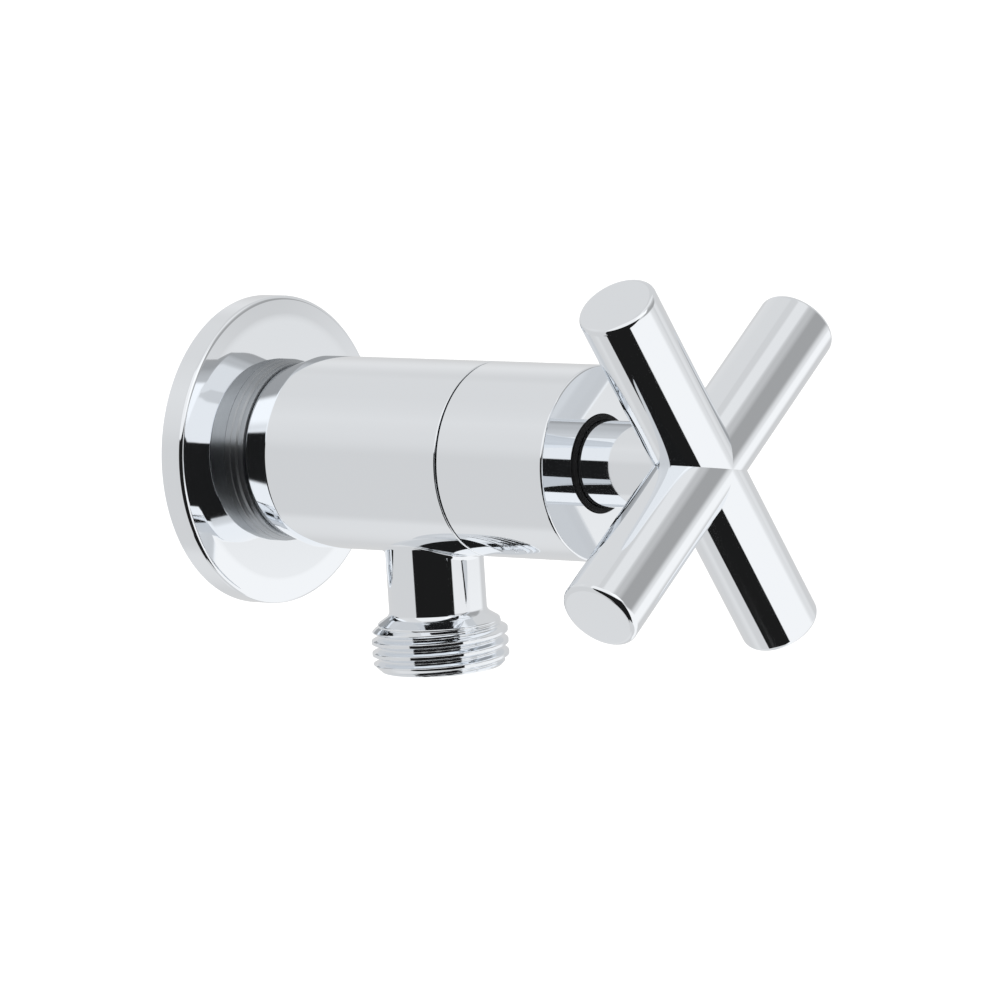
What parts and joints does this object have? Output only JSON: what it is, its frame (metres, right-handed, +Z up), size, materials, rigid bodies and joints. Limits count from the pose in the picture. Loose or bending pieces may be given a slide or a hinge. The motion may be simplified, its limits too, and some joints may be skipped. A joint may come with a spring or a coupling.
{
  "type": "angle stop valve",
  "caption": "Wall-mounted angle stop valve: straight cylindrical body, round wall flange, downward threaded outlet and a cross handle on a rising spindle.",
  "frame": {"origin": "centre of the wall flange's back face, where the valve's axis meets the finished wall", "axes": "+Y along the valve's axis into the wall, -Y towards the handle, +Z up, the outlet points along -Z"},
  "size_m": [0.0594, 0.1003, 0.0624],
  "materials": {
    "chrome": "polished chrome plate on brass",
    "satin": "fine turned, satin, dark",
    "brass": "machined brass",
    "steel": "stainless steel, fine",
    "black": "black moulded plastic",
    "ivory": "moulded acetal",
    "rubber": "black moulded rubber",
    "fibre": "red vulcanised fibre",
    "graphite": "braided graphited packing"
  },
  "bodies": {
    "body": {"wall_flange": "chrome", "flange_gasket": "rubber", "flange_collar": "satin", "inlet_strainer": "steel", "valve_body": "chrome", "valve_seat": "steel", "bonnet": "brass", "bonnet_gasket": "fibre", "packing_washer": "brass", "gland_packing": "graphite", "gland_follower": "brass", "gland_nut": "brass", "front_sleeve": "chrome", "sleeve_o_ring": "rubber", "hub_guide_ring": "black"},
    "valve_plate": {"tap_washer": "rubber", "jumper_valve": "brass", "washer_nut": "brass"},
    "handle": {"spindle": "brass", "cross_handle": "chrome", "spline_insert": "ivory", "handle_grub_screw": "steel"}
  },
  "joints": [
    {"name": "valve_lift", "type": "slide", "parent": "body", "child": "valve_plate", "axis": [0, -1, 0], "range_m": [0, 0.0044]},
    {"name": "handle_turn", "type": "hinge", "parent": "valve_plate", "child": "handle", "pos_m": [0, 0, 0], "axis": [0, -1, 0], "range_deg": [0, 792]}
  ],
  "couplings": [
    {"joint": "handle_turn", "follows": "valve_lift", "rad_per_m": 3141.6}
  ]
}
